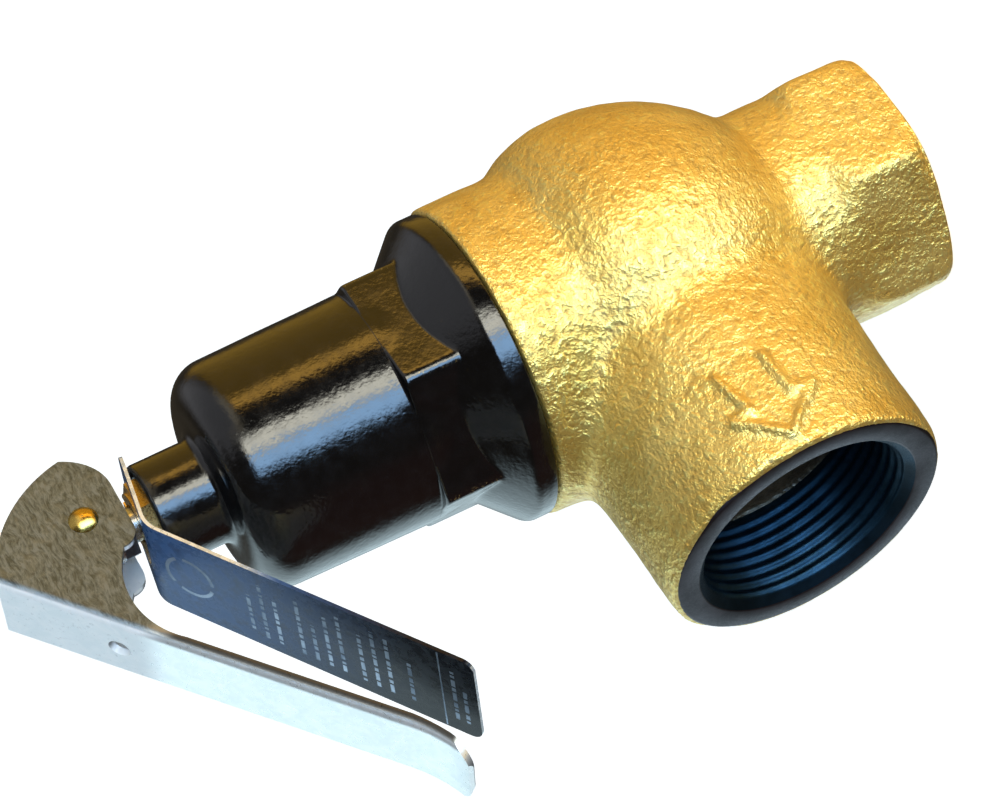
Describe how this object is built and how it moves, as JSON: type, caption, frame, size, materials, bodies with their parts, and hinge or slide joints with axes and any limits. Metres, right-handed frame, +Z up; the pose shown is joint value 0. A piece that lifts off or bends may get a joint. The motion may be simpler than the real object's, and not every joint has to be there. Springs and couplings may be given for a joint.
{
  "type": "pressure relief valve",
  "caption": "Angle-pattern pressure relief valve with a cast bronze body, black spring bonnet, manual lift lever and slanting nameplate.",
  "frame": {"origin": "centre of the threaded inlet's mouth, on the inlet face", "axes": "+Z up along the stem, +X out of the outlet, the lever's handle over the outlet"},
  "size_m": [0.1023, 0.0658, 0.1711],
  "materials": {
    "cast_bronze": "rough sand-cast bronze, machined at the ports",
    "black_paint": "gloss black enamel",
    "machined_brass": "turned brass",
    "rivet_brass": "bright brass",
    "stainless": "turned stainless steel",
    "zinc_steel": "zinc-plated steel",
    "spring_steel": "oiled spring wire",
    "bright_steel": "bright zinc-plated sheet steel",
    "printed_aluminium": "blue-black printed aluminium sheet with bare edges",
    "black_rubber": "moulded EPDM"
  },
  "bodies": {
    "valve": {"body": "cast_bronze", "seat_ring": "stainless", "stem_guide": "machined_brass", "diaphragm": "black_rubber", "clamp_ring": "machined_brass", "bonnet": "black_paint", "adjusting_screw": "machined_brass", "lock_nut": "machined_brass", "upper_spring_button": "zinc_steel", "spring": "spring_steel", "nameplate": "printed_aluminium"},
    "stem": {"stem": "stainless", "lower_spring_button": "zinc_steel", "diaphragm_nut": "machined_brass", "upper_diaphragm_washer": "zinc_steel", "lower_diaphragm_washer": "zinc_steel", "disc_holder": "machined_brass", "seat_disc": "black_rubber", "disc_washer": "stainless", "disc_screw": "stainless", "stem_head": "machined_brass", "stem_jam_nut": "machined_brass"},
    "lever": {"lever": "bright_steel", "lever_pin": "rivet_brass", "pin_washers": "machined_brass"}
  },
  "joints": [
    {"name": "stem_lift", "type": "slide", "parent": "valve", "child": "stem", "axis": [0, 0, 1], "range_m": [0, 0.002], "deforming": ["spring", "diaphragm"]},
    {"name": "lever_lift", "type": "hinge", "parent": "stem", "child": "lever", "pos_m": [0, 0, 0.1537], "axis": [0, -1, 0], "range_deg": [0, 60]}
  ],
  "couplings": [
    {"joint": "stem_lift", "follows": "lever_lift", "m_per_rad": 0.0019099}
  ]
}
